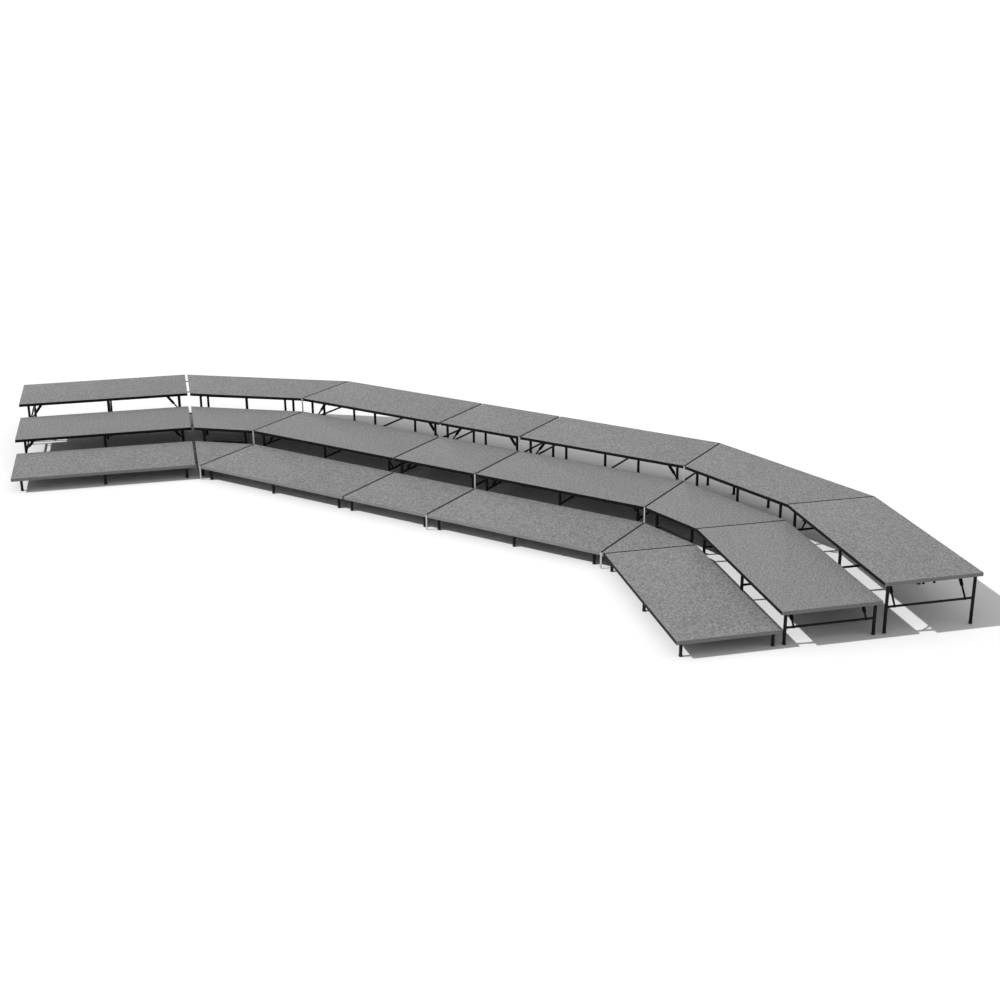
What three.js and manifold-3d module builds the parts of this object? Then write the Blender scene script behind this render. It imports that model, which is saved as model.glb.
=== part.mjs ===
// Curved three-tier set of stage risers: 21 portable platforms on round tube legs.
// Millimetres, +Z up, +Y towards the back tier, +X towards the right arm.

import * as THREE from 'three';
import { mergeVertices } from 'three/addons/utils/BufferGeometryUtils.js';
import Module from 'manifold-3d';

const wasm = await Module();
wasm.setup();

// Layout of the set
const TIER_NAMES = ['front', 'middle', 'back'];
const TIER_RISE = 203.2;
const DECK_DEPTH = 1130;
const LONG_DECK = 2438.4;
const SHORT_DECK = 1275;
const DECK_JOINT = 28;
const ARM_TURN = Math.PI / 4;
const WEDGE_TIP = 71;
const WEDGE_JOINT = 20;
const LEFT_ARM_JOINT = 38;
const LEFT_ARM_SETBACK = 35;

// Deck: a panel on an underframe of rails, flats and one cross rail
const PANEL = 20;
const FRAME_DEPTH = 24;
const RAIL_INSET = 4;
const RAIL_WIDTH = 20;
const TIP_RAIL_WIDTH = 80;
const FLAT_WIDTH = 50;
const FLAT_DEPTH = 10;
const CROSS_RAIL_WIDTH = 30;
const CROSS_RAIL_PLACE = 1508;
const BITE = 2;

// Legs: tubes on a hinge barrel, which turns in lugs under the deck
const LEG_RADIUS = 18;
const FOOT_RADIUS = 21;
const FOOT_HEIGHT = 26;
const BARREL_RADIUS = 12;
const CROSSBAR_RADIUS = 13;
const CROSSBAR_HEIGHT = { middle: 190, back: 300 };
const HINGE_DROP = 44;
const LEG_HEAD = 13;
const END_INSET = {
  left_arm: 125, centre_left: 115, centre_short: 65, centre_right: 122, right_arm: 65,
};
const FRONT_INSET = 75;
const BACK_INSET = 50;
const WEDGE_LEG_INSET = 75;

// Middle set of a long deck, clear of its folded neighbours on the back tier
const MID_SET = { front: LONG_DECK / 2, middle: LONG_DECK / 2, back: 1268 };

// Lugs that carry the hinge barrel
const LUG_THICKNESS = 8;
const LUG_WIDTH = 44;
const LUG_DROP = 62;
const LUG_OFFSET = 28;
const LUG_HOLE_RADIUS = 13.6;

// Leg places along the hinge of each wedge set, from the wedge's mid-line
const WEDGE_LEGS = {
  middle: { front: [-310, 310], back: [-600, 0, 600] },
  back: { front: [-725, 0, 725], back: [-945, -315, 315, 945] },
};
const WEDGE_POSTS = [[0, 150], [-300, 970], [300, 970]];
const WEDGE_FLATS = { front: [0], middle: [-150, 150], back: [-530, -165, 165, 530] };

const TUBE_SIDES = 6;
const HOLE_SIDES = 8;

const deckMaterial = () => new THREE.MeshStandardMaterial({
  color: 0x8b8b8b, roughness: 0.9, metalness: 0.0,
});
const legMaterial = () => new THREE.MeshStandardMaterial({
  color: 0x161616, roughness: 0.45, metalness: 0.3,
});

// Solids ------------------------------------------------------------------------------------

function toSolid(geometry) {
  const bare = geometry.clone();
  bare.deleteAttribute('normal');
  bare.deleteAttribute('uv');
  const merged = mergeVertices(bare, 1e-4);
  return new wasm.Manifold(new wasm.Mesh({
    numProp: 3,
    vertProperties: new Float32Array(merged.attributes.position.array),
    triVerts: new Uint32Array(merged.index.array),
  }));
}

function toGeometry(solid) {
  const mesh = solid.getMesh();
  const geometry = new THREE.BufferGeometry();
  geometry.setAttribute('position', new THREE.BufferAttribute(mesh.vertProperties, 3));
  geometry.setIndex(new THREE.BufferAttribute(mesh.triVerts, 1));
  geometry.computeVertexNormals();
  return geometry;
}

function join(solids) {
  return solids.reduce((all, solid) => all.add(solid));
}

// A prism over a plan outline, from z = low to z = high
function prism(outline, low, high) {
  const shape = new THREE.Shape(outline);
  const geometry = new THREE.ExtrudeGeometry(shape, { depth: high - low, bevelEnabled: false });
  geometry.translate(0, 0, low);
  return toSolid(geometry);
}

function box(x0, x1, y0, y1, z0, z1) {
  const geometry = new THREE.BoxGeometry(x1 - x0, y1 - y0, z1 - z0);
  geometry.translate((x0 + x1) / 2, (y0 + y1) / 2, (z0 + z1) / 2);
  return toSolid(geometry);
}

function upright(x, y, z0, z1, radius) {
  const geometry = new THREE.CylinderGeometry(radius, radius, z1 - z0, TUBE_SIDES);
  geometry.rotateX(Math.PI / 2);
  geometry.translate(x, y, (z0 + z1) / 2);
  return toSolid(geometry);
}

function barAlongX(x0, x1, y, z, radius, sides = TUBE_SIDES) {
  const geometry = new THREE.CylinderGeometry(radius, radius, x1 - x0, sides);
  geometry.rotateZ(Math.PI / 2);
  geometry.translate((x0 + x1) / 2, y, z);
  return toSolid(geometry);
}

// Moves every edge of a convex outline inwards by its own distance
function inset(outline, distances) {
  const lines = outline.map((point, i) => {
    const next = outline[(i + 1) % outline.length];
    const along = next.clone().sub(point).normalize();
    const inward = new THREE.Vector2(-along.y, along.x);
    return { point: point.clone().addScaledVector(inward, distances[i]), along };
  });
  return lines.map((line, i) => {
    const before = lines[(i + lines.length - 1) % lines.length];
    const gap = line.point.clone().sub(before.point);
    const reach = gap.cross(line.along) / before.along.cross(line.along);
    return before.point.clone().addScaledVector(before.along, reach);
  });
}

// Decks -------------------------------------------------------------------------------------

function panelAndRails(outline, top, railWidths) {
  const underside = top - PANEL;
  const outer = inset(outline, outline.map(() => RAIL_INSET));
  const inner = inset(outline, railWidths.map((width) => RAIL_INSET + width));
  const rails = prism(outer, underside - FRAME_DEPTH, underside + BITE)
    .subtract(prism(inner, underside - FRAME_DEPTH - BITE, underside + 2 * BITE));
  return prism(outline, underside, top).add(rails);
}

function lug(x, y, top) {
  const half = LUG_THICKNESS / 2;
  const plate = box(
    x - half, x + half, y - LUG_WIDTH / 2, y + LUG_WIDTH / 2, top - LUG_DROP, top - PANEL + BITE,
  );
  const hole = barAlongX(
    x - half - BITE, x + half + BITE, y, top - HINGE_DROP, LUG_HOLE_RADIUS, HOLE_SIDES,
  );
  return plate.subtract(hole);
}

// Lug places for a leg set whose hinge runs along x, one inside each outer leg
function lugsAlongX(places, y, top) {
  const first = places[0] + LUG_OFFSET;
  const last = places[places.length - 1] - LUG_OFFSET;
  return [lug(first, y, top), lug(last, y, top)];
}

function post(x, y, top) {
  return upright(x, y, 0, top - PANEL + BITE, LEG_RADIUS)
    .add(upright(x, y, 0, FOOT_HEIGHT, FOOT_RADIUS));
}

// Turns a solid built along x at the origin to run along y at a given x
function turnAlongY(solid, x) {
  return solid.rotate([0, 0, 90]).translate([x, 0, 0]);
}

function rectangle(length) {
  return [[0, 0], [length, 0], [length, DECK_DEPTH], [0, DECK_DEPTH]]
    .map(([x, y]) => new THREE.Vector2(x, y));
}

const STRAIGHT_LEGS = [FRONT_INSET, DECK_DEPTH - BACK_INSET];

function straightSets(tier, where, length) {
  const ends = [
    { name: 'left', x: END_INSET[where] },
    { name: 'right', x: length - END_INSET[where] },
  ];
  return length === LONG_DECK ? [...ends, { name: 'mid', x: MID_SET[tier] }] : ends;
}

function straightDeck(tier, where, length, top) {
  const underside = top - PANEL;
  const parts = [panelAndRails(rectangle(length), top, Array(4).fill(RAIL_WIDTH))];
  for (const share of [1 / 3, 2 / 3]) {
    const y = DECK_DEPTH * share;
    parts.push(box(
      RAIL_WIDTH, length - RAIL_WIDTH, y - FLAT_WIDTH / 2, y + FLAT_WIDTH / 2,
      underside - FLAT_DEPTH, underside + BITE,
    ));
  }
  if (length === LONG_DECK) {
    parts.push(box(
      CROSS_RAIL_PLACE - CROSS_RAIL_WIDTH / 2, CROSS_RAIL_PLACE + CROSS_RAIL_WIDTH / 2,
      RAIL_WIDTH, DECK_DEPTH - RAIL_WIDTH, underside - FRAME_DEPTH + BITE, underside + BITE,
    ));
  }
  for (const { x } of straightSets(tier, where, length)) {
    if (tier === 'front') {
      parts.push(...STRAIGHT_LEGS.map((y) => post(x, y, top)));
    } else {
      parts.push(...lugsAlongX(STRAIGHT_LEGS, 0, top).map((one) => turnAlongY(one, x)));
    }
  }
  return join(parts);
}

function wedgeDeck(outline, tier, top) {
  const underside = top - PANEL;
  const isFront = tier === 'front';
  const widths = [isFront ? TIP_RAIL_WIDTH : RAIL_WIDTH, RAIL_WIDTH, RAIL_WIDTH, RAIL_WIDTH];
  const parts = [panelAndRails(outline, top, widths)];
  const depth = wedgeDepth(outline);
  for (const x of WEDGE_FLATS[tier]) {
    parts.push(box(
      x - FLAT_WIDTH / 2, x + FLAT_WIDTH / 2, isFront ? TIP_RAIL_WIDTH : RAIL_WIDTH,
      depth - RAIL_WIDTH, underside - FLAT_DEPTH, underside + BITE,
    ));
  }
  if (isFront) {
    parts.push(...WEDGE_POSTS.map(([x, y]) => post(x, y, top)));
  } else {
    parts.push(...lugsAlongX(WEDGE_LEGS[tier].front, WEDGE_LEG_INSET, top));
    parts.push(...lugsAlongX(WEDGE_LEGS[tier].back, depth - WEDGE_LEG_INSET, top));
  }
  return join(parts);
}

// Folding leg sets, hinge along x at y = 0 -----------------------------------------------------

function legSet(places, top, crossbarHeight) {
  const hinge = top - HINGE_DROP;
  const first = places[0];
  const last = places[places.length - 1];
  const parts = [
    barAlongX(first, last, 0, hinge, BARREL_RADIUS),
    barAlongX(first, last, 0, crossbarHeight, CROSSBAR_RADIUS),
  ];
  for (const x of places) {
    parts.push(upright(x, 0, 0, hinge + LEG_HEAD, LEG_RADIUS));
    parts.push(upright(x, 0, 0, FOOT_HEIGHT, FOOT_RADIUS));
  }
  return join(parts);
}

// Plan of the curved set -----------------------------------------------------------------------

const CENTRE_END = SHORT_DECK / 2 + DECK_JOINT + LONG_DECK;
const HALF_TURN = ARM_TURN / 2;

// side is +1 for the right arm and -1 for the left arm
const armAway = (side) => new THREE.Vector2(side * Math.cos(ARM_TURN), -Math.sin(ARM_TURN));
const armBack = (side) => new THREE.Vector2(side * Math.sin(ARM_TURN), Math.cos(ARM_TURN));

function armCorner(side, steps) {
  const setback = side < 0 ? LEFT_ARM_SETBACK : 0;
  return new THREE.Vector2(
    side * (CENTRE_END + WEDGE_TIP * Math.cos(HALF_TURN)), -WEDGE_TIP * Math.sin(HALF_TURN),
  ).addScaledVector(armBack(side), setback + steps * DECK_DEPTH);
}

function centreCorner(side, steps) {
  return new THREE.Vector2(side * CENTRE_END, steps * DECK_DEPTH);
}

// A wedge's own frame: origin half-way along its front line, y along its mid-line
function wedgeFrame(side, steps) {
  const origin = centreCorner(side, steps).lerp(armCorner(side, steps), 0.5);
  return { origin, turn: -side * HALF_TURN };
}

function wedgeOutline(side, steps) {
  const { origin, turn } = wedgeFrame(side, steps);
  const front = [centreCorner(side, steps), armCorner(side, steps)];
  const back = [armCorner(side, steps + 1), centreCorner(side, steps + 1)];
  const armGap = side < 0 ? LEFT_ARM_JOINT : WEDGE_JOINT;
  const corners = side > 0 ? [...front, ...back] : [front[1], front[0], back[1], back[0]];
  const gaps = side > 0 ? [0, armGap, 0, WEDGE_JOINT] : [0, WEDGE_JOINT, 0, armGap];
  return inset(corners, gaps)
    .map((point) => point.sub(origin).rotateAround(new THREE.Vector2(), -turn));
}

// Depth that every part of a wedge reaches, from its front line to its back line
function wedgeDepth(outline) {
  return Math.min(outline[2].y, outline[3].y);
}

// Assembly -------------------------------------------------------------------------------------

const riserSet = new THREE.Group();

function place(name, solid, material, frame, offset = 0, turn = 0) {
  const mesh = new THREE.Mesh(toGeometry(solid), material);
  mesh.name = name;
  const along = new THREE.Vector2(offset, 0).rotateAround(new THREE.Vector2(), frame.turn);
  mesh.position.set(frame.origin.x + along.x, frame.origin.y + along.y, 0);
  mesh.rotation.z = frame.turn + turn;
  riserSet.add(mesh);
}

function straightPlatform(tierIndex, where, length, frame) {
  const tier = TIER_NAMES[tierIndex];
  const top = TIER_RISE * (tierIndex + 1);
  const deck = straightDeck(tier, where, length, top);
  place(`${tier}_deck_${where}`, deck, deckMaterial(), frame);
  if (tier === 'front') {
    return;
  }
  for (const set of straightSets(tier, where, length)) {
    const solid = legSet(STRAIGHT_LEGS, top, CROSSBAR_HEIGHT[tier]);
    const name = `${tier}_legs_${where}_${set.name}`;
    place(name, solid, legMaterial(), frame, set.x, Math.PI / 2);
  }
}

function wedgePlatform(tierIndex, where, side) {
  const tier = TIER_NAMES[tierIndex];
  const top = TIER_RISE * (tierIndex + 1);
  const frame = wedgeFrame(side, tierIndex);
  const outline = wedgeOutline(side, tierIndex);
  place(`${tier}_deck_${where}`, wedgeDeck(outline, tier, top), deckMaterial(), frame);
  if (tier === 'front') {
    return;
  }
  const rows = { front: WEDGE_LEG_INSET, back: wedgeDepth(outline) - WEDGE_LEG_INSET };
  for (const [row, y] of Object.entries(rows)) {
    const solid = legSet(WEDGE_LEGS[tier][row], top, CROSSBAR_HEIGHT[tier]).translate([0, y, 0]);
    place(`${tier}_legs_${where}_${row}`, solid, legMaterial(), frame);
  }
}

function straightFrame(x, steps) {
  return { origin: new THREE.Vector2(x, steps * DECK_DEPTH), turn: 0 };
}

function armFrame(side, steps) {
  const near = armCorner(side, steps);
  const origin = side > 0 ? near : near.addScaledVector(armAway(side), LONG_DECK);
  return { origin, turn: -side * ARM_TURN };
}

const SHORT_LEFT = -SHORT_DECK / 2;
const SHORT_RIGHT = SHORT_DECK / 2 + DECK_JOINT;
for (let step = 0; step < TIER_NAMES.length; step += 1) {
  straightPlatform(step, 'left_arm', LONG_DECK, armFrame(-1, step));
  wedgePlatform(step, 'left_wedge', -1);
  straightPlatform(step, 'centre_left', LONG_DECK, straightFrame(-CENTRE_END, step));
  straightPlatform(step, 'centre_short', SHORT_DECK, straightFrame(SHORT_LEFT, step));
  straightPlatform(step, 'centre_right', LONG_DECK, straightFrame(SHORT_RIGHT, step));
  wedgePlatform(step, 'right_wedge', 1);
  straightPlatform(step, 'right_arm', LONG_DECK, armFrame(1, step));
}

// The origin is on the floor under the middle of the whole set
const extent = new THREE.Box3().setFromObject(riserSet);
const middle = extent.getCenter(new THREE.Vector3());
riserSet.position.set(-middle.x, -middle.y, -extent.min.z);
riserSet.updateMatrixWorld(true);

export default riserSet;
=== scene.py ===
"""Curved three-tier set of stage risers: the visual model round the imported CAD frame.

Metres, in the CAD frame: +Z up, +Y towards the back tier, +X towards the right arm.
"""

import math

import bmesh
import bpy
from mathutils import Matrix, Vector


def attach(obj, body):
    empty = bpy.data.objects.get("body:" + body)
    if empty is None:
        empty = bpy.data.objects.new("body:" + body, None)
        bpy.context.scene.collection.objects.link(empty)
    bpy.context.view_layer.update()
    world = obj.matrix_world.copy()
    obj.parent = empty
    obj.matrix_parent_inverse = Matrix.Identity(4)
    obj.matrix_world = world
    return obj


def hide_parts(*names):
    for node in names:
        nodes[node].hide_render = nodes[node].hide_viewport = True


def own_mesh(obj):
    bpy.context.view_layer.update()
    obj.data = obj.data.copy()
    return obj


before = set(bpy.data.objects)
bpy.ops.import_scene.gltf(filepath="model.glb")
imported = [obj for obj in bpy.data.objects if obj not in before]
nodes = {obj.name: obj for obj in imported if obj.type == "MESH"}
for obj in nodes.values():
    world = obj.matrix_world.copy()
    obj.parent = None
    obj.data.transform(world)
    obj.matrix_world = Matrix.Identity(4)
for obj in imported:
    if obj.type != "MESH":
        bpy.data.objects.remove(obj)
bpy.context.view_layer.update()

# Sizes shared with the CAD model
TIERS = {"front": 1, "middle": 2, "back": 3}
RISE = 0.2032
DECK_ROW = (
    "left_arm", "left_wedge", "centre_left", "centre_short", "centre_right", "right_wedge",
    "right_arm",
)
TURNS = {"left_arm": 45.0, "left_wedge": 22.5, "right_wedge": -22.5, "right_arm": -45.0}
PANEL = 0.020
RAIL_DROP = 0.044
RAIL_INSET = 0.004
RAIL_WIDTH = 0.020
TIP_RAIL_WIDTH = 0.080
FLAT_WIDTH = 0.050
FLAT_DEPTH = 0.010
CROSS_RAIL_PLACE = 1.508
CROSS_RAIL_WIDTH = 0.030
HINGE_DROP = 0.044
LEG_RADIUS = 0.018
LEG_HEAD = 0.013
FOOT_RADIUS = 0.021
FOOT_HEIGHT = 0.026
BARREL_RADIUS = 0.012
CROSSBAR_RADIUS = 0.013
LONG_DECK_LEAST = 2.0
CROSSBAR_HEIGHT = {"middle": 0.190, "back": 0.300}
LUG_OFFSET = 0.028

# Visual details
TRIM_WALL = 0.0028
SIDE_TRIM_DROP = 0.042
NOSING_DROP = 0.040
BRACE_INSET = 0.095
BRACE_HALF = 0.0115
SLEEVE_RADIUS = 0.0195
SLEEVE_SHARE = {"middle": 0.70, "back": 0.58}
SOCKET_DROP = {"middle": 0.044, "back": 0.050}
BRACE_RUN = {"middle": 0.130, "back": 0.195}
GUSSET_SIDE = 0.07
WEDGE_FLATS = {"front": [0.0], "middle": [-0.15, 0.15], "back": [-0.53, -0.165, 0.165, 0.53]}
STUD_PLACES = (0.395, 0.505)
COUPLER_PLACES = (0.22, 0.78)
# Joints whose gap is filled with black: painted shade
SHADE_FILLED_JOINTS = (
    ("left_wedge", "centre_left"), ("centre_right", "right_wedge"), ("right_wedge", "right_arm"),
)
STRIP_JOINTS = (
    ("left_wedge", "centre_left"), ("centre_short", "centre_right"), ("centre_right", "right_wedge"),
)
STRIP_WIDTH = 0.023
STRIP_THICKNESS = 0.004

# Studio light: (height, brightness) of the sky from a pale horizon to overhead, and the sun
SKY_STOPS = ((0.0, 1.0), (0.13, 0.96), (0.24, 0.14), (0.52, 0.73))
SUN_STRENGTH = 3.9
SUN_ANGLE = 1.2
SUN_DIRECTION = (0.515, 0.424, -0.61)
FLOOR_SIZE = 900.0
FLOOR_DROP = 0.0005

# Camera: degrees, metres and millimetres
CAMERA_PLACE = (10.4066, -14.8492, 6.5455)
CAMERA_YAW = -31.71
CAMERA_PITCH = 19.86
CAMERA_ROLL = -0.35
SENSOR_WIDTH = 36.0
FOCAL_SHARE = 1457.7 / 1000.0

UP = Vector((0, 0, 1))
DOWN = Vector((0, 0, -1))


# Materials ------------------------------------------------------------------------------------


def noise(tree, coords, scale, detail=4.0, roughness=0.6):
    node = tree.nodes.new("ShaderNodeTexNoise")
    node.inputs["Scale"].default_value = scale
    node.inputs["Detail"].default_value = detail
    node.inputs["Roughness"].default_value = roughness
    tree.links.new(coords, node.inputs["Vector"])
    return node.outputs["Fac"]


def ramp(tree, value, low, high, at=(0.3, 0.7)):
    """A two-stop ramp: low and high are (r, g, b), reached at the two places."""
    node = tree.nodes.new("ShaderNodeValToRGB")
    for element, colour, place in zip(node.color_ramp.elements, (low, high), at):
        element.position = place
        element.color = (*colour, 1.0)
    tree.links.new(value, node.inputs["Fac"])
    return node.outputs["Color"]


def mixed(tree, share, first, second, blend="MIX"):
    """Mix of two colours; share is a socket or a number."""
    node = tree.nodes.new("ShaderNodeMix")
    node.data_type = "RGBA"
    node.blend_type = blend
    if isinstance(share, float):
        node.inputs["Factor"].default_value = share
    else:
        tree.links.new(share, node.inputs["Factor"])
    for socket, colour in ((node.inputs["A"], first), (node.inputs["B"], second)):
        tree.links.new(colour, socket)
    return node.outputs["Result"]


def grey(level):
    return (level, level, level)


def base_material(name, stretch=(1.0, 1.0, 1.0)):
    material = bpy.data.materials.new(name)
    material.use_nodes = True
    tree = material.node_tree
    shader = tree.nodes["Principled BSDF"]
    texture = tree.nodes.new("ShaderNodeTexCoord")
    mapping = tree.nodes.new("ShaderNodeMapping")
    mapping.inputs["Scale"].default_value = stretch
    tree.links.new(texture.outputs["Object"], mapping.inputs["Vector"])
    return material, tree, shader, mapping.outputs["Vector"]


def add_bump(tree, shader, height, strength, distance):
    bump = tree.nodes.new("ShaderNodeBump")
    bump.inputs["Strength"].default_value = strength
    bump.inputs["Distance"].default_value = distance
    tree.links.new(height, bump.inputs["Height"])
    tree.links.new(bump.outputs["Normal"], shader.inputs["Normal"])


def surface_material(
    name, tones, fleck_scale, blotch_scale, rough, bump=(0.25, 0.0006),
    stretch=(1.0, 1.0, 1.0), specular=0.5,
):
    """Flecked, softly blotched finish. tones and rough are (low, high)."""
    material, tree, shader, coords = base_material(name, stretch)
    fleck = noise(tree, coords, fleck_scale, 6.0, 0.75)
    colour = ramp(tree, fleck, grey(tones[0]), grey(tones[1]), (0.32, 0.68))
    wide = noise(tree, coords, blotch_scale, 3.0, 0.5)
    shade = ramp(tree, wide, grey(0.88), grey(1.0), (0.35, 0.65))
    tree.links.new(mixed(tree, 1.0, colour, shade, "MULTIPLY"), shader.inputs["Base Color"])
    tree.links.new(
        ramp(tree, fleck, grey(rough[0]), grey(rough[1])), shader.inputs["Roughness"]
    )
    shader.inputs["Specular IOR Level"].default_value = specular
    add_bump(tree, shader, noise(tree, coords, fleck_scale * 3.0, 3.0), *bump)
    return material


def worn_paint(name, tone, worn_tone, rough):
    """Powder coat: orange-peel skin, dulled and lightened where it rubs."""
    material, tree, shader, coords = base_material(name)
    wear = noise(tree, coords, 38.0, 8.0, 0.7)
    peel = noise(tree, coords, 620.0, 2.0)
    colour = ramp(tree, wear, grey(tone), grey(worn_tone), (0.55, 0.78))
    dust = ramp(tree, noise(tree, coords, 9.0, 3.0), grey(0.8), grey(1.0), (0.35, 0.65))
    tree.links.new(mixed(tree, 1.0, colour, dust, "MULTIPLY"), shader.inputs["Base Color"])
    tree.links.new(
        ramp(tree, wear, grey(rough[0]), grey(rough[1]), (0.35, 0.75)),
        shader.inputs["Roughness"],
    )
    shader.inputs["Specular IOR Level"].default_value = 0.16
    add_bump(tree, shader, peel, 0.18, 0.0003)
    return material


def deck_material():
    """Loop-pile covering: coarse salt-and-pepper flecks over a fine grain."""
    material, tree, shader, coords = base_material("deck_covering")
    coarse = noise(tree, coords, 52.0, 1.0, 0.5)
    fine = noise(tree, coords, 150.0, 3.0, 0.7)
    coarse_tone = ramp(tree, coarse, grey(0.082), grey(0.238), (0.34, 0.66))
    fine_tone = ramp(tree, fine, grey(0.095), grey(0.228), (0.32, 0.68))
    flecks = mixed(tree, 0.25, coarse_tone, fine_tone)
    wide = ramp(tree, noise(tree, coords, 2.2, 3.0, 0.5), grey(0.95), grey(1.0), (0.35, 0.65))
    tree.links.new(mixed(tree, 1.0, flecks, wide, "MULTIPLY"), shader.inputs["Base Color"])
    tree.links.new(ramp(tree, fine, grey(0.82), grey(0.96)), shader.inputs["Roughness"])
    shader.inputs["Sheen Weight"].default_value = 0.08
    shader.inputs["Specular IOR Level"].default_value = 0.22
    add_bump(tree, shader, noise(tree, coords, 300.0, 3.0), 0.5, 0.0012)
    return material


MATERIALS = {
    "deck": deck_material(),
    "trim": surface_material(
        "edge_trim", (0.120, 0.175), 140.0, 6.0, (0.55, 0.75),
        bump=(0.25, 0.0005), specular=0.35,
    ),
    # Black of the middle and back tier nosings; the same black is also painted shade on the front
    # tier's right arm front and in the filled deck joints
    "nosing_and_painted_shade": surface_material(
        "nosing_and_painted_shade_black", (0.0025, 0.0060), 160.0, 5.0, (0.50, 0.68),
        bump=(0.2, 0.0004), specular=0.12,
    ),
    "frame": worn_paint("underframe_black", 0.006, 0.012, (0.50, 0.66)),
    "leg": worn_paint("leg_black", 0.0035, 0.0085, (0.40, 0.58)),
    "rubber": surface_material(
        "foot_rubber", (0.010, 0.026), 260.0, 20.0, (0.75, 0.92), specular=0.3,
    ),
    "strip": surface_material(
        "joint_strip_grey", (0.30, 0.42), 220.0, 8.0, (0.45, 0.6),
        stretch=(1.0, 1.0, 0.08), bump=(0.15, 0.0003),
    ),
}


# Mesh helpers ---------------------------------------------------------------------------------


def join_rings(bm, pairs):
    """Quads between the two rings of vertices in each pair."""
    for first, second in pairs:
        for i in range(len(first)):
            j = (i + 1) % len(first)
            bm.faces.new((first[i], first[j], second[j], second[i]))


def skin(bm, rings):
    """Quads between successive rings of points, capped at both ends."""
    made = [[bm.verts.new(point) for point in ring] for ring in rings]
    join_rings(bm, zip(made, made[1:]))
    bm.faces.new(made[0][::-1])
    bm.faces.new(made[-1])


def block(bm, place, x, y, z, chamfer=0.0015):
    """A box with chamfered edges; x, y and z are (low, high) in the frame of place."""

    def ring(level, shrink):
        x0, x1, y0, y1 = x[0] + shrink, x[1] - shrink, y[0] + shrink, y[1] - shrink
        c = chamfer
        points = (
            (x0 + c, y0), (x1 - c, y0), (x1, y0 + c), (x1, y1 - c),
            (x1 - c, y1), (x0 + c, y1), (x0, y1 - c), (x0, y0 + c),
        )
        return [place @ Vector((px, py, level)) for px, py in points]

    skin(bm, [
        ring(z[0], chamfer), ring(z[0] + chamfer, 0.0),
        ring(z[1] - chamfer, 0.0), ring(z[1], chamfer),
    ])


def turned(bm, start, end, profile, sides=20):
    """Surface of revolution from start towards end; profile rows are (distance, radius)."""
    axis = (end - start).normalized()
    side = axis.orthogonal().normalized()
    up = axis.cross(side)
    spokes = [
        side * math.cos(2 * math.pi * i / sides) + up * math.sin(2 * math.pi * i / sides)
        for i in range(sides)
    ]
    skin(bm, [[start + axis * d + spoke * r for spoke in spokes] for d, r in profile])


def tube(bm, start, end, radius, sides=20, edge=0.0018):
    length = (end - start).length
    turned(bm, start, end, [
        (0.0, radius - edge), (edge * 0.3, radius - edge * 0.3), (edge, radius),
        (length - edge, radius), (length - edge * 0.3, radius - edge * 0.3),
        (length, radius - edge),
    ], sides)


def bolt(bm, base, axis, radius=0.006, height=0.005):
    """Hexagon head on a washer, standing on base along axis."""
    axis = axis.normalized()
    turned(bm, base, base + axis, [
        (0.0, radius * 1.7), (0.0010, radius * 1.75), (0.0016, radius * 1.6),
    ], 16)
    turned(bm, base + axis * 0.0017, base + axis, [
        (0.0, radius), (height * 0.75, radius), (height, radius * 0.8),
    ], 6)


def inset(corners, distances):
    """Moves each side of a convex outline inwards by its own distance."""
    lines = []
    for i, corner in enumerate(corners):
        along = (corners[(i + 1) % len(corners)] - corner).normalized()
        lines.append((corner + Vector((-along.y, along.x)) * distances[i], along))
    moved = []
    for i, (point, along) in enumerate(lines):
        before, before_along = lines[i - 1]
        gap = point - before
        cross = before_along.x * along.y - before_along.y * along.x
        reach = (gap.x * along.y - gap.y * along.x) / cross
        moved.append(before + before_along * reach)
    return moved


def rounded(corners, radius, steps=4):
    """The outline with every corner replaced by an arc."""
    points = []
    for i, corner in enumerate(corners):
        to_last = (corners[i - 1] - corner).normalized()
        to_next = (corners[(i + 1) % len(corners)] - corner).normalized()
        half = to_last.angle(to_next) / 2
        centre = corner + (to_last + to_next).normalized() * (radius / math.sin(half))
        first = corner + to_last * (radius / math.tan(half)) - centre
        last = corner + to_next * (radius / math.tan(half)) - centre
        a0 = math.atan2(first.y, first.x)
        sweep = (math.atan2(last.y, last.x) - a0 + math.pi) % (2 * math.pi) - math.pi
        for step in range(steps + 1):
            a = a0 + sweep * step / steps
            points.append(centre + Vector((math.cos(a), math.sin(a))) * radius)
    return points


def lift(points, z):
    return [Vector((p.x, p.y, z)) for p in points]


def placed(origin, along):
    """The frame whose origin is a plan point and whose x axis is a plan direction."""
    turn = Matrix.Rotation(math.atan2(along.y, along.x), 4, "Z")
    return Matrix.Translation((*origin, 0.0)) @ turn


def side_bar(bm, corners, spans, side, profile, gap=0.0002):
    """A mitred bar along one side of an outline.

    spans holds (outer, inner) insets of all sides; profile rows are (share across, height).
    """
    starts, ends = [], []
    for share, z in profile:
        moved = inset(corners, [outer + (inner - outer) * share for outer, inner in spans])
        start, end = moved[side], moved[(side + 1) % len(moved)]
        along = (end - start).normalized() * gap
        starts.append(Vector((*(start + along), z)))
        ends.append(Vector((*(end - along), z)))
    skin(bm, [starts, ends])


def piece(name, bm, material, body, angle=35.0):
    """Finishes a mesh object: normals, smooth shading with sharp edges, material, body."""
    bmesh.ops.recalc_face_normals(bm, faces=bm.faces)
    mesh = bpy.data.meshes.new(name)
    bm.to_mesh(mesh)
    bm.free()
    mesh.shade_smooth()
    mesh.set_sharp_from_angle(angle=math.radians(angle))
    mesh.materials.append(MATERIALS[material])
    made = bpy.data.objects.new(name, mesh)
    bpy.context.scene.collection.objects.link(made)
    if body:
        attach(made, body)
    return made


# Places read from the CAD nodes -----------------------------------------------------------------


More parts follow.
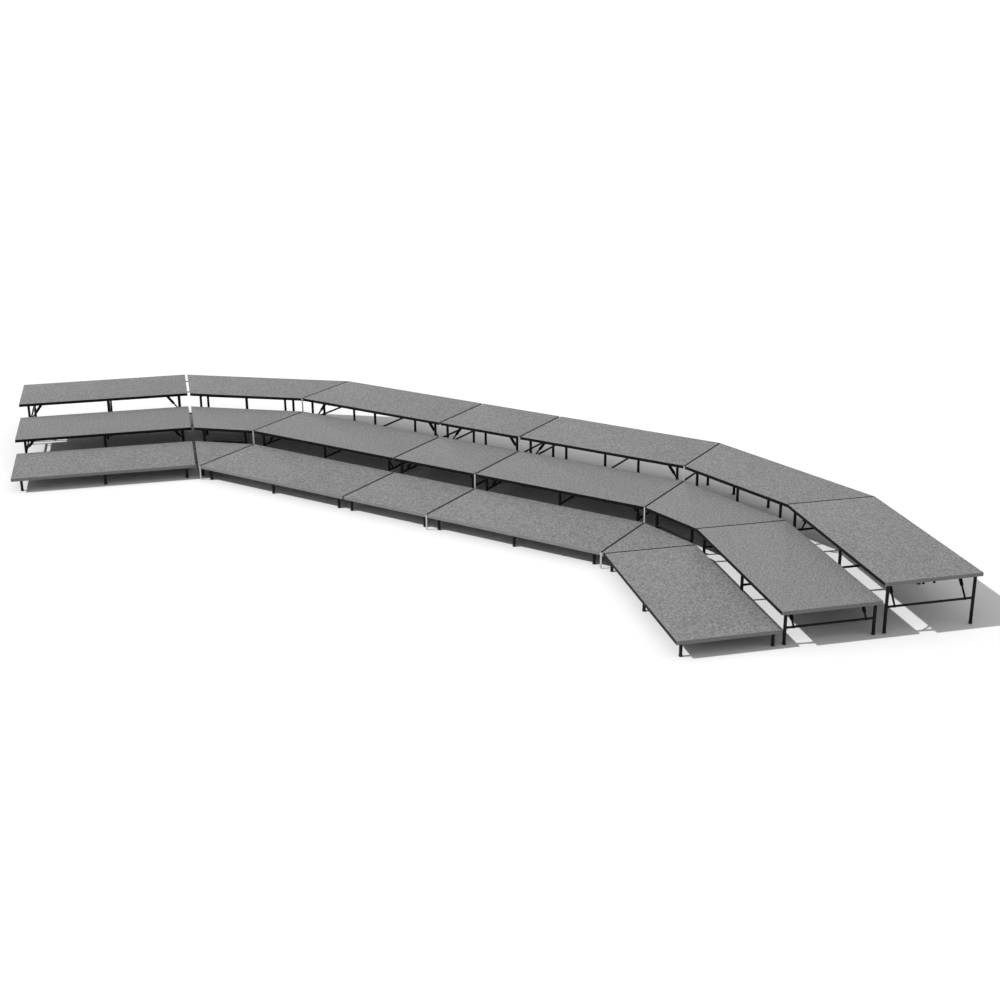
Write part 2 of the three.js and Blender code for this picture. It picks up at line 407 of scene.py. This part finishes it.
def plan_points(node, low, high):
    """Distinct plan positions of a CAD node's vertices between two heights."""
    found = {}
    for vertex in nodes[node].data.vertices:
        if low <= vertex.co.z <= high:
            found[(round(vertex.co.x, 4), round(vertex.co.y, 4))] = vertex.co.xy.copy()
    return [found[key] for key in sorted(found)]


def feet_of(node):
    """Plan centres of the round feet that a CAD node stands on."""
    groups = []
    for point in plan_points(node, -0.001, 0.001):
        for group in groups:
            if (group[0] - point).length < 0.045:
                group.append(point)
                break
        else:
            groups.append([point])
    return [sum(group, Vector((0.0, 0.0))) / len(group) for group in groups]


def spin(point, degrees):
    a = math.radians(degrees)
    return Vector((
        point.x * math.cos(a) - point.y * math.sin(a),
        point.x * math.sin(a) + point.y * math.cos(a),
    ))


def deck_outline(node, top, turn):
    """Corners from front left, anticlockwise from above."""
    points = plan_points(node, top - 0.0005, top + 0.0005)
    points.sort(key=lambda p: spin(p, -turn).y)
    front = sorted(points[:2], key=lambda p: spin(p, -turn).x)
    back = sorted(points[-2:], key=lambda p: spin(p, -turn).x)
    return [front[0], front[1], back[1], back[0]]


# Decks ------------------------------------------------------------------------------------------


def deck_panel(name, node, corners, top):
    """Covered board with softly rounded top edges, sitting inside the edge trim."""
    bm = bmesh.new()
    rows = [
        (0.0012, top - PANEL), (0.0, top - PANEL + 0.0012), (0.0, top - 0.0030),
        (0.0006, top - 0.0014), (0.0018, top - 0.0005), (0.0038, top),
    ]
    rings = []
    for distance, z in rows:
        loop = inset(corners, [TRIM_WALL + distance] * 4)
        rings.append(lift(rounded(loop, 0.0012), z))
    skin(bm, rings)
    made = piece(name, bm, "deck", "decks", 60.0)
    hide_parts(node)


def trim_profile(top, drop):
    """Slightly bull-nosed strip: (share across the wall, height) rows."""
    return [
        (0.65, top - 0.0006), (0.30, top - 0.0014), (0.08, top - 0.0032), (0.0, top - 0.006),
        (0.0, top - drop + 0.0012), (0.35, top - drop), (1.0, top - drop), (1.0, top - 0.0006),
    ]


def rail_profile(underside, low):
    """Rounded rail: (share across, height) rows."""
    return [
        (0.06, underside - 0.0003), (0.0, underside - 0.0018), (0.0, low + 0.002),
        (0.1, low), (0.9, low), (1.0, low + 0.002),
        (1.0, underside - 0.0018), (0.94, underside - 0.0003),
    ]


def wedge_flats(bm, corners, tier, where, front_rail, flat_z):
    """Flats that run from front to back under a wedge."""
    middle = (corners[0] + corners[1]) / 2
    place = placed(middle, spin(Vector((1.0, 0.0)), TURNS[where]))
    back = min((place.inverted() @ Vector((*c, 0.0))).y for c in corners[2:])
    for x in WEDGE_FLATS[tier]:
        block(
            bm, place, (x - FLAT_WIDTH / 2, x + FLAT_WIDTH / 2),
            (front_rail + RAIL_INSET + 0.0004, back - RAIL_WIDTH - RAIL_INSET - 0.002), flat_z,
        )


def straight_flats(bm, corners, underside, flat_z):
    """Flats along a straight deck, and the cross rail of a long one."""
    place = placed(corners[0], corners[1] - corners[0])
    length = (corners[1] - corners[0]).length
    depth = (corners[3] - corners[0]).length
    clear = RAIL_INSET + RAIL_WIDTH + 0.0004
    for share in (1 / 3, 2 / 3):
        y = depth * share
        span = (y - FLAT_WIDTH / 2, y + FLAT_WIDTH / 2)
        block(bm, place, (clear, length - clear), span, flat_z)
    if length > LONG_DECK_LEAST:
        half = CROSS_RAIL_WIDTH / 2
        block(
            bm, place, (CROSS_RAIL_PLACE - half, CROSS_RAIL_PLACE + half),
            (clear, depth - clear), (underside - 0.022, underside - FLAT_DEPTH - 0.0003), 0.002,
        )


def gussets(bm, inner, underside):
    """A bolted plate in each inner corner of the rails."""
    for i, corner in enumerate(inner):
        last = (inner[i - 1] - corner).normalized()
        following = (inner[(i + 1) % 4] - corner).normalized()
        triangle = [corner, corner + following * GUSSET_SIDE, corner + last * GUSSET_SIDE]
        shape = rounded(triangle, 0.004, 2)
        skin(bm, [lift(shape, underside - 0.0048), lift(shape, underside - 0.0014)])
        middle = corner + (last + following) * 0.022
        bolt(bm, Vector((*middle, underside - 0.0050)), DOWN, 0.005, 0.004)


def underframe(corners, top, tier, where, sets):
    """Steel rails, flats, gussets, hinge lugs and brace brackets under one deck."""
    bm = bmesh.new()
    underside = top - PANEL
    wedge = "wedge" in where
    tip = tier == "front" and wedge
    front_rail = TIP_RAIL_WIDTH if tip else RAIL_WIDTH
    if tier == "back" and where == "right_arm":
        for share in STUD_PLACES:
            stud(bm, corners, share, top - RAIL_DROP)
    spans = [(RAIL_INSET, RAIL_INSET + width) for width in [front_rail] + [RAIL_WIDTH] * 3]
    for side in range(4):
        low = top - (NOSING_DROP if side == 0 and tier != "front" else RAIL_DROP)
        side_bar(bm, corners, spans, side, rail_profile(underside, low))
    flat_z = (underside - FLAT_DEPTH, underside - 0.0003)
    if wedge:
        wedge_flats(bm, corners, tier, where, front_rail, flat_z)
    else:
        straight_flats(bm, corners, underside, flat_z)
    if not tip:
        gussets(bm, inset(corners, [inner for _, inner in spans]), underside)
    hinge = top - HINGE_DROP
    for points, lean in sets:
        along = (points[-1] - points[0]).normalized()
        for point, inward in ((points[0], along), (points[-1], -along)):
            lug(bm, point + inward * LUG_OFFSET, along, hinge, underside)
            if lean is not None:
                spot = point + inward * BRACE_INSET + lean * BRACE_RUN[tier]
                bracket(bm, spot, along, underside, tier)
    piece(f"{tier}_frame_{where}", bm, "frame", "decks")


def stud(bm, corners, share, low):
    """Round-headed stop under the end rail, a share of the way along it."""
    inner = inset(corners, [0.0, RAIL_INSET + RAIL_WIDTH * 0.45, 0.0, 0.0])
    spot = inner[1].lerp(inner[2], share)
    base = Vector((*spot, low + 0.0002))
    turned(bm, base, base + DOWN, [
        (0.0, 0.0090), (0.0040, 0.0095), (0.0050, 0.0125), (0.0070, 0.0145), (0.0180, 0.0145),
        (0.0215, 0.0120), (0.0235, 0.0070),
    ], 24)


def lug(bm, spot, along, hinge, underside):
    """Hinge plate with a round nose and a hole for the barrel."""
    half, nose, hole, steps = 0.004, 0.0185, 0.0136, 28
    across = Vector((-along.y, along.x))
    height = underside - hinge - 0.0003
    outer, inner = [], []
    for i in range(steps):
        a = 2 * math.pi * (i + 0.5) / steps
        reach = nose
        if math.sin(a) > 0:
            reach = min(nose / max(abs(math.cos(a)), 1e-6), height / math.sin(a))
        outer.append((reach * math.cos(a), reach * math.sin(a)))
        inner.append((hole * math.cos(a), hole * math.sin(a)))

    def ring(points, offset, scale=1.0):
        return [
            Vector((*(spot + along * offset + across * (y * scale)), hinge + z * scale))
            for y, z in points
        ]

    loops = [
        ring(outer, -half + 0.001), ring(outer, half - 0.001), ring(outer, half, 0.96),
        ring(inner, half, 1.04), ring(inner, half - 0.0008), ring(inner, -half + 0.0008),
        ring(inner, -half, 1.04), ring(outer, -half, 0.96),
    ]
    made = [[bm.verts.new(p) for p in loop] for loop in loops]
    join_rings(bm, zip(made, made[1:] + made[:1]))
    place = placed(spot, along)
    for y in ((-0.034, -nose), (nose, 0.034)):
        block(bm, place, (-0.016, 0.016), y, (underside - 0.0050, underside - 0.0003))


def bracket(bm, spot, along, underside, tier):
    """Rounded socket under the deck that takes the top of a leg brace."""
    drop = SOCKET_DROP[tier]
    top = Vector((*spot, underside - 0.0004))
    down = top + DOWN
    turned(bm, top, down, [
        (0.0, 0.028), (0.003, 0.028), (0.004, 0.0205), (0.006, 0.0190), (drop - 0.014, 0.0190),
        (drop - 0.007, 0.0170), (drop - 0.002, 0.0110), (drop, 0.005),
    ], 24)
    side = Vector((*along, 0.0))
    bolt(bm, top + Vector((0, 0, 0.020 - drop)) + side * 0.0186, side, 0.0045, 0.004)


def coupler_pair(bm, gap, low):
    """Bolted plates that clamp the end rails of two decks together from below."""
    front, back = (gap[0] + gap[1]) / 2, (gap[2] + gap[3]) / 2
    across = (gap[1] - gap[0]).length / 2 + RAIL_INSET
    along = (back - front).normalized()
    reach = across + RAIL_WIDTH * 0.9
    for share in COUPLER_PLACES:
        place = placed(front.lerp(back, share), along)
        block(bm, place, (-0.022, 0.022), (-reach, reach), (low - 0.0050, low - 0.0004), 0.0012)
        for x in (-0.012, 0.012):
            for y in (-across - RAIL_WIDTH / 2, across + RAIL_WIDTH / 2):
                bolt(bm, place @ Vector((x, y, low - 0.0051)), DOWN, 0.0042, 0.004)


# Legs -------------------------------------------------------------------------------------------


def foot(bm, spot):
    """Moulded rubber boot with a ribbed skirt."""
    base = Vector((*spot, 0.0))
    turned(bm, base, base + UP, [
        (0.0, 0.0155), (0.0008, FOOT_RADIUS - 0.0010), (0.0022, FOOT_RADIUS),
        (0.0060, FOOT_RADIUS), (0.0068, FOOT_RADIUS - 0.0012), (0.0080, FOOT_RADIUS - 0.0012),
        (0.0088, FOOT_RADIUS - 0.0003), (0.0120, FOOT_RADIUS - 0.0005),
        (0.0128, FOOT_RADIUS - 0.0016), (0.0140, FOOT_RADIUS - 0.0016),
        (0.0148, FOOT_RADIUS - 0.0008), (0.0215, FOOT_RADIUS - 0.0015),
        (0.0248, FOOT_RADIUS - 0.0022), (FOOT_HEIGHT, LEG_RADIUS + 0.0004),
    ], 24)


def leg_tube(bm, spot, low, high):
    tube(bm, Vector((*spot, low)), Vector((*spot, high)), LEG_RADIUS, 24, 0.003)


def collar(bm, start, end, tube_radius, flare):
    """Weld bead where a bar meets a leg, from the leg's centre outwards."""
    turned(bm, start, end, [
        (LEG_RADIUS - 0.004, tube_radius + flare), (LEG_RADIUS + 0.0015, tube_radius + flare),
        (LEG_RADIUS + 0.004, tube_radius + flare * 0.45),
        (LEG_RADIUS + 0.0065, tube_radius + 0.0002),
    ])


def leg_set(tier, where, which, node, points, top):
    hinge = top - HINGE_DROP
    along = (points[-1] - points[0]).normalized()
    bm = bmesh.new()
    for point in points:
        leg_tube(bm, point, 0.004, hinge + LEG_HEAD)
        base = Vector((*point, hinge + LEG_HEAD))
        turned(bm, base, base + UP, [
            (-0.004, 0.0140), (0.0002, 0.0140), (0.0016, 0.0115), (0.0022, 0.006),
        ])
    heights = ((hinge, BARREL_RADIUS, 0.0022), (CROSSBAR_HEIGHT[tier], CROSSBAR_RADIUS, 0.0025))
    for first, second in zip(points, points[1:]):
        for z, radius, flare in heights:
            start, end = Vector((*first, z)), Vector((*second, z))
            run = (end - start).normalized()
            tube(bm, start + run * 0.006, end - run * 0.006, radius)
            collar(bm, start, end, radius, flare)
            collar(bm, end, start, radius, flare)
    for point, inward in ((points[0], along), (points[-1], -along)):
        for offset in (LUG_OFFSET - 0.0080, LUG_OFFSET + 0.0090):
            spot = Vector((*(point + inward * offset), hinge))
            run = Vector((*inward, 0.0))
            turned(bm, spot - run * 0.0030, spot + run, [
                (0.0, 0.0150), (0.0008, 0.0160), (0.0052, 0.0160), (0.0060, 0.0150),
            ])
            bolt(bm, spot + Vector((0, 0, -0.0156)), DOWN, 0.0020, 0.002)
        pin = Vector((*(point - inward * (LEG_RADIUS - 0.0006)), hinge))
        bolt(bm, pin, Vector((*-inward, 0.0)), 0.0068, 0.0050)
    made = piece(f"{tier}_tubes_{where}_{which}", bm, "leg", node)
    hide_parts(node)
    bm = bmesh.new()
    for point in points:
        foot(bm, point)
    piece(f"{tier}_feet_{where}_{which}", bm, "rubber", node)


def brace_pair(tier, where, which, points, lean, top):
    """Two flat-ended struts from the crossbar up to their sockets under the deck.

    They have no body of their own: they ride on the decks.
    """
    along = (points[-1] - points[0]).normalized()
    underside = top - PANEL
    bm = bmesh.new()
    for point, inward in ((points[0], along), (points[-1], -along)):
        base = point + inward * BRACE_INSET
        low = Vector((*(base + lean * 0.004), CROSSBAR_HEIGHT[tier] + 0.009))
        high = Vector((*(base + lean * (BRACE_RUN[tier] - 0.002)), underside - 0.030))
        run = (high - low).normalized()
        wide = Vector((*along, 0.0))
        thick = run.cross(wide)
        length = (high - low).length
        rows = [
            (0.0, 0.0080, 0.0030), (0.0015, 0.0110, 0.0036), (0.020, 0.0125, 0.0040),
            (0.040, BRACE_HALF, BRACE_HALF * 0.92),
            (length - 0.045, BRACE_HALF, BRACE_HALF * 0.92),
            (length - 0.025, 0.0120, 0.0060), (length - 0.002, 0.0110, 0.0046),
            (length, 0.0080, 0.0036),
        ]
        rings = []
        for distance, half_wide, half_thick in rows:
            centre = low + run * distance
            rings.append([
                centre + wide * (half_wide * math.cos(a)) + thick * (half_thick * math.sin(a))
                for a in (2 * math.pi * i / 20 for i in range(20))
            ])
        skin(bm, rings)
        bolt(bm, low + run * 0.013 + thick * 0.0038, thick, 0.0050, 0.004)
        sleeve = length * SLEEVE_SHARE[tier]
        turned(bm, high, low, [
            (0.004, SLEEVE_RADIUS - 0.006), (0.009, SLEEVE_RADIUS - 0.0015),
            (0.013, SLEEVE_RADIUS), (sleeve - 0.016, SLEEVE_RADIUS),
            (sleeve - 0.015, SLEEVE_RADIUS - 0.0018), (sleeve - 0.010, SLEEVE_RADIUS - 0.0018),
            (sleeve - 0.009, SLEEVE_RADIUS - 0.0004), (sleeve - 0.003, SLEEVE_RADIUS - 0.0010),
            (sleeve, SLEEVE_RADIUS - 0.0050),
        ], 24)
        clamp = Vector((*base, CROSSBAR_HEIGHT[tier]))
        turned(bm, clamp - wide * 0.013, clamp + wide, [
            (0.0, 0.0142), (0.001, 0.0155), (0.025, 0.0155), (0.026, 0.0142),
        ])
    made = piece(f"{tier}_braces_{where}_{which}", bm, "leg", "decks")
    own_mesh(made)


def posts(where, points, top):
    """Fixed posts of a front deck: tube, top flange with four screws."""
    underside = top - PANEL
    bm = bmesh.new()
    for point in points:
        leg_tube(bm, point, 0.004, underside - 0.0004)
        head = Vector((*point, underside - 0.0008))
        turned(bm, head, head + DOWN, [
            (0.0, 0.0335), (0.0008, 0.0345), (0.0036, 0.0345), (0.0045, 0.0335),
            (0.0046, 0.0235), (0.0060, 0.0205), (0.0095, 0.0183),
        ], 28)
        for i in range(4):
            a = math.pi / 4 + i * math.pi / 2
            spot = head + Vector((0.0282 * math.cos(a), 0.0282 * math.sin(a), -0.0046))
            bolt(bm, spot, DOWN, 0.0032, 0.0026)
    piece(f"front_posts_{where}", bm, "leg", "decks")


# Assembly ---------------------------------------------------------------------------------------


def split_name(node):
    """('front', 'deck', 'left_arm') or ('back', 'legs', 'right_wedge_front')."""
    return tuple(node.split("_", 2))


decks = sorted(n for n in nodes if split_name(n)[1] == "deck")
leg_nodes = sorted(n for n in nodes if split_name(n)[1] == "legs")

nosings_and_painted_shade = {tier: bmesh.new() for tier in TIERS}
front_feet = bmesh.new()
joint_strips = {tier: bmesh.new() for tier in TIERS}
couplers = {tier: bmesh.new() for tier in TIERS}
outlines = {}

for deck in decks:
    tier, _, where = split_name(deck)
    top = RISE * TIERS[tier]
    turn = TURNS.get(where, 0.0)
    corners = deck_outline(deck, top, turn)
    outlines[(tier, where)] = corners
    ex = spin(Vector((1.0, 0.0)), turn)
    ey = spin(Vector((0.0, 1.0)), turn)
    wedge = "wedge" in where

    sets = []
    for node in leg_nodes:
        set_tier, _, rest = split_name(node)
        place, which = rest.rsplit("_", 1)
        if (set_tier, place) != (tier, where):
            continue
        line = ex if wedge else ey
        points = sorted(feet_of(node), key=lambda p: p.dot(line))
        braced = not wedge and which != "mid"
        lean = (-ex if which == "right" else ex) if braced else None
        sets.append((points, lean))
        leg_set(tier, where, which, node, points, top)
        if braced:
            brace_pair(tier, where, which, points, lean, top)

    deck_panel(f"{tier}_panel_{where}", deck, corners, top)
    underframe(corners, top, tier, where, sets)

    spans = [(0.0, TRIM_WALL)] * 4
    # Black nosings on the middle and back tiers; on the front tier's right arm the black front is
    # painted shade, darkening a face turned away from the light
    black_front_and_painted_shade = tier != "front" or where == "right_arm"
    bm = bmesh.new()
    for side in range(4):
        if side == 0 and black_front_and_painted_shade:
            side_bar(nosings_and_painted_shade[tier], corners, spans, side, trim_profile(top, NOSING_DROP))
        else:
            side_bar(bm, corners, spans, side, trim_profile(top, SIDE_TRIM_DROP))
    piece(f"{tier}_edging_{where}", bm, "trim", "decks")

    if tier == "front":
        points = feet_of(deck)
        posts(where, points, top)
        for point in points:
            foot(front_feet, point)

# Joints between neighbouring decks: couplers under all; in some, a black fill in the gap, painted
# shade standing in for the shade down the gap
for tier, level in TIERS.items():
    top = RISE * level
    for left, right in zip(DECK_ROW, DECK_ROW[1:]):
        a, b = outlines[(tier, left)], outlines[(tier, right)]
        gap = [a[1], b[0], b[3], a[2]]
        coupler_pair(couplers[tier], gap, top - RAIL_DROP)
        if (left, right) in SHADE_FILLED_JOINTS:
            # Black fill nearly flush with the top of the gap: painted shade
            painted_gap_shade = inset(gap, [0.004, 0.0003, 0.004, 0.0003])
            skin(nosings_and_painted_shade[tier], [lift(painted_gap_shade, top - 0.030), lift(painted_gap_shade, top - 0.0008)])
    piece(f"{tier}_couplers", couplers[tier], "frame", "decks")

# Black nosings, together with painted shade: the front tier's right arm front and the filled deck
# joints
for tier in TIERS:
    piece(f"{tier}_nosing", nosings_and_painted_shade[tier], "nosing_and_painted_shade", "decks")
piece("front_feet", front_feet, "rubber", "decks")

# Slim light grey strips at the front of some joints, down to the tier below
for tier, level in TIERS.items():
    top = RISE * level
    for left, right in STRIP_JOINTS:
        a, b = outlines[(tier, left)][1], outlines[(tier, right)][0]
        middle = (a + b) / 2
        ex = (b - a).normalized() if tier != "front" else Vector((1.0, 0.0))
        block(
            joint_strips[tier], placed(middle, ex), (-STRIP_WIDTH / 2, STRIP_WIDTH / 2),
            (-STRIP_THICKNESS - 0.0006, -0.0006), (top - RISE + 0.0006, top - 0.004), 0.001,
        )
    piece(f"{tier}_joint_strips", joint_strips[tier], "strip", "decks")


# Floor, light and camera --------------------------------------------------------------------------

floor_material, tree, shader, coords = base_material("studio_floor")
tree.links.new(
    ramp(tree, noise(tree, coords, 1.5, 3.0), grey(0.695), grey(0.705)),
    shader.inputs["Base Color"],
)
shader.inputs["Roughness"].default_value = 0.95
shader.inputs["Specular IOR Level"].default_value = 0.0
bm = bmesh.new()
bmesh.ops.create_grid(bm, x_segments=1, y_segments=1, size=FLOOR_SIZE)
floor = piece("studio_floor", bm, "deck", None)
floor.data.materials.clear()
floor.data.materials.append(floor_material)
floor.location.z = -FLOOR_DROP

world = bpy.data.worlds.new("studio")
world.use_nodes = True
tree = world.node_tree
direction = tree.nodes.new("ShaderNodeTexCoord")
split = tree.nodes.new("ShaderNodeSeparateXYZ")
sky = tree.nodes.new("ShaderNodeValToRGB")
while len(sky.color_ramp.elements) < len(SKY_STOPS):
    sky.color_ramp.elements.new(0.5)
for element, (height, level) in zip(sky.color_ramp.elements, SKY_STOPS):
    element.position = height
    element.color = (*grey(level), 1.0)
tree.links.new(direction.outputs["Generated"], split.inputs["Vector"])
tree.links.new(split.outputs["Z"], sky.inputs["Fac"])
tree.links.new(sky.outputs["Color"], tree.nodes["Background"].inputs["Color"])
bpy.context.scene.world = world

sun_data = bpy.data.lights.new("key", "SUN")
sun_data.energy = SUN_STRENGTH
sun_data.angle = math.radians(SUN_ANGLE)
sun = bpy.data.objects.new("key", sun_data)
sun.rotation_mode = "QUATERNION"
sun.rotation_quaternion = Vector(SUN_DIRECTION).to_track_quat("-Z", "Y")
bpy.context.scene.collection.objects.link(sun)

bpy.context.scene.view_settings.view_transform = "Standard"

yaw, pitch, roll = (math.radians(a) for a in (CAMERA_YAW, CAMERA_PITCH, CAMERA_ROLL))
forward = Vector((
    math.sin(yaw) * math.cos(pitch), math.cos(yaw) * math.cos(pitch), -math.sin(pitch),
))
level_right = forward.cross(UP).normalized()
level_up = level_right.cross(forward)
right = level_right * math.cos(roll) + level_up * math.sin(roll)
up = level_up * math.cos(roll) - level_right * math.sin(roll)
camera_data = bpy.data.cameras.new("camera")
camera_data.sensor_width = SENSOR_WIDTH
camera_data.lens = SENSOR_WIDTH * FOCAL_SHARE
camera_data.clip_start, camera_data.clip_end = 0.1, 2000.0
camera = bpy.data.objects.new("camera", camera_data)
camera.matrix_world = Matrix((
    (right.x, up.x, -forward.x, CAMERA_PLACE[0]),
    (right.y, up.y, -forward.y, CAMERA_PLACE[1]),
    (right.z, up.z, -forward.z, CAMERA_PLACE[2]),
    (0.0, 0.0, 0.0, 1.0),
))
bpy.context.scene.collection.objects.link(camera)
bpy.context.scene.camera = camera
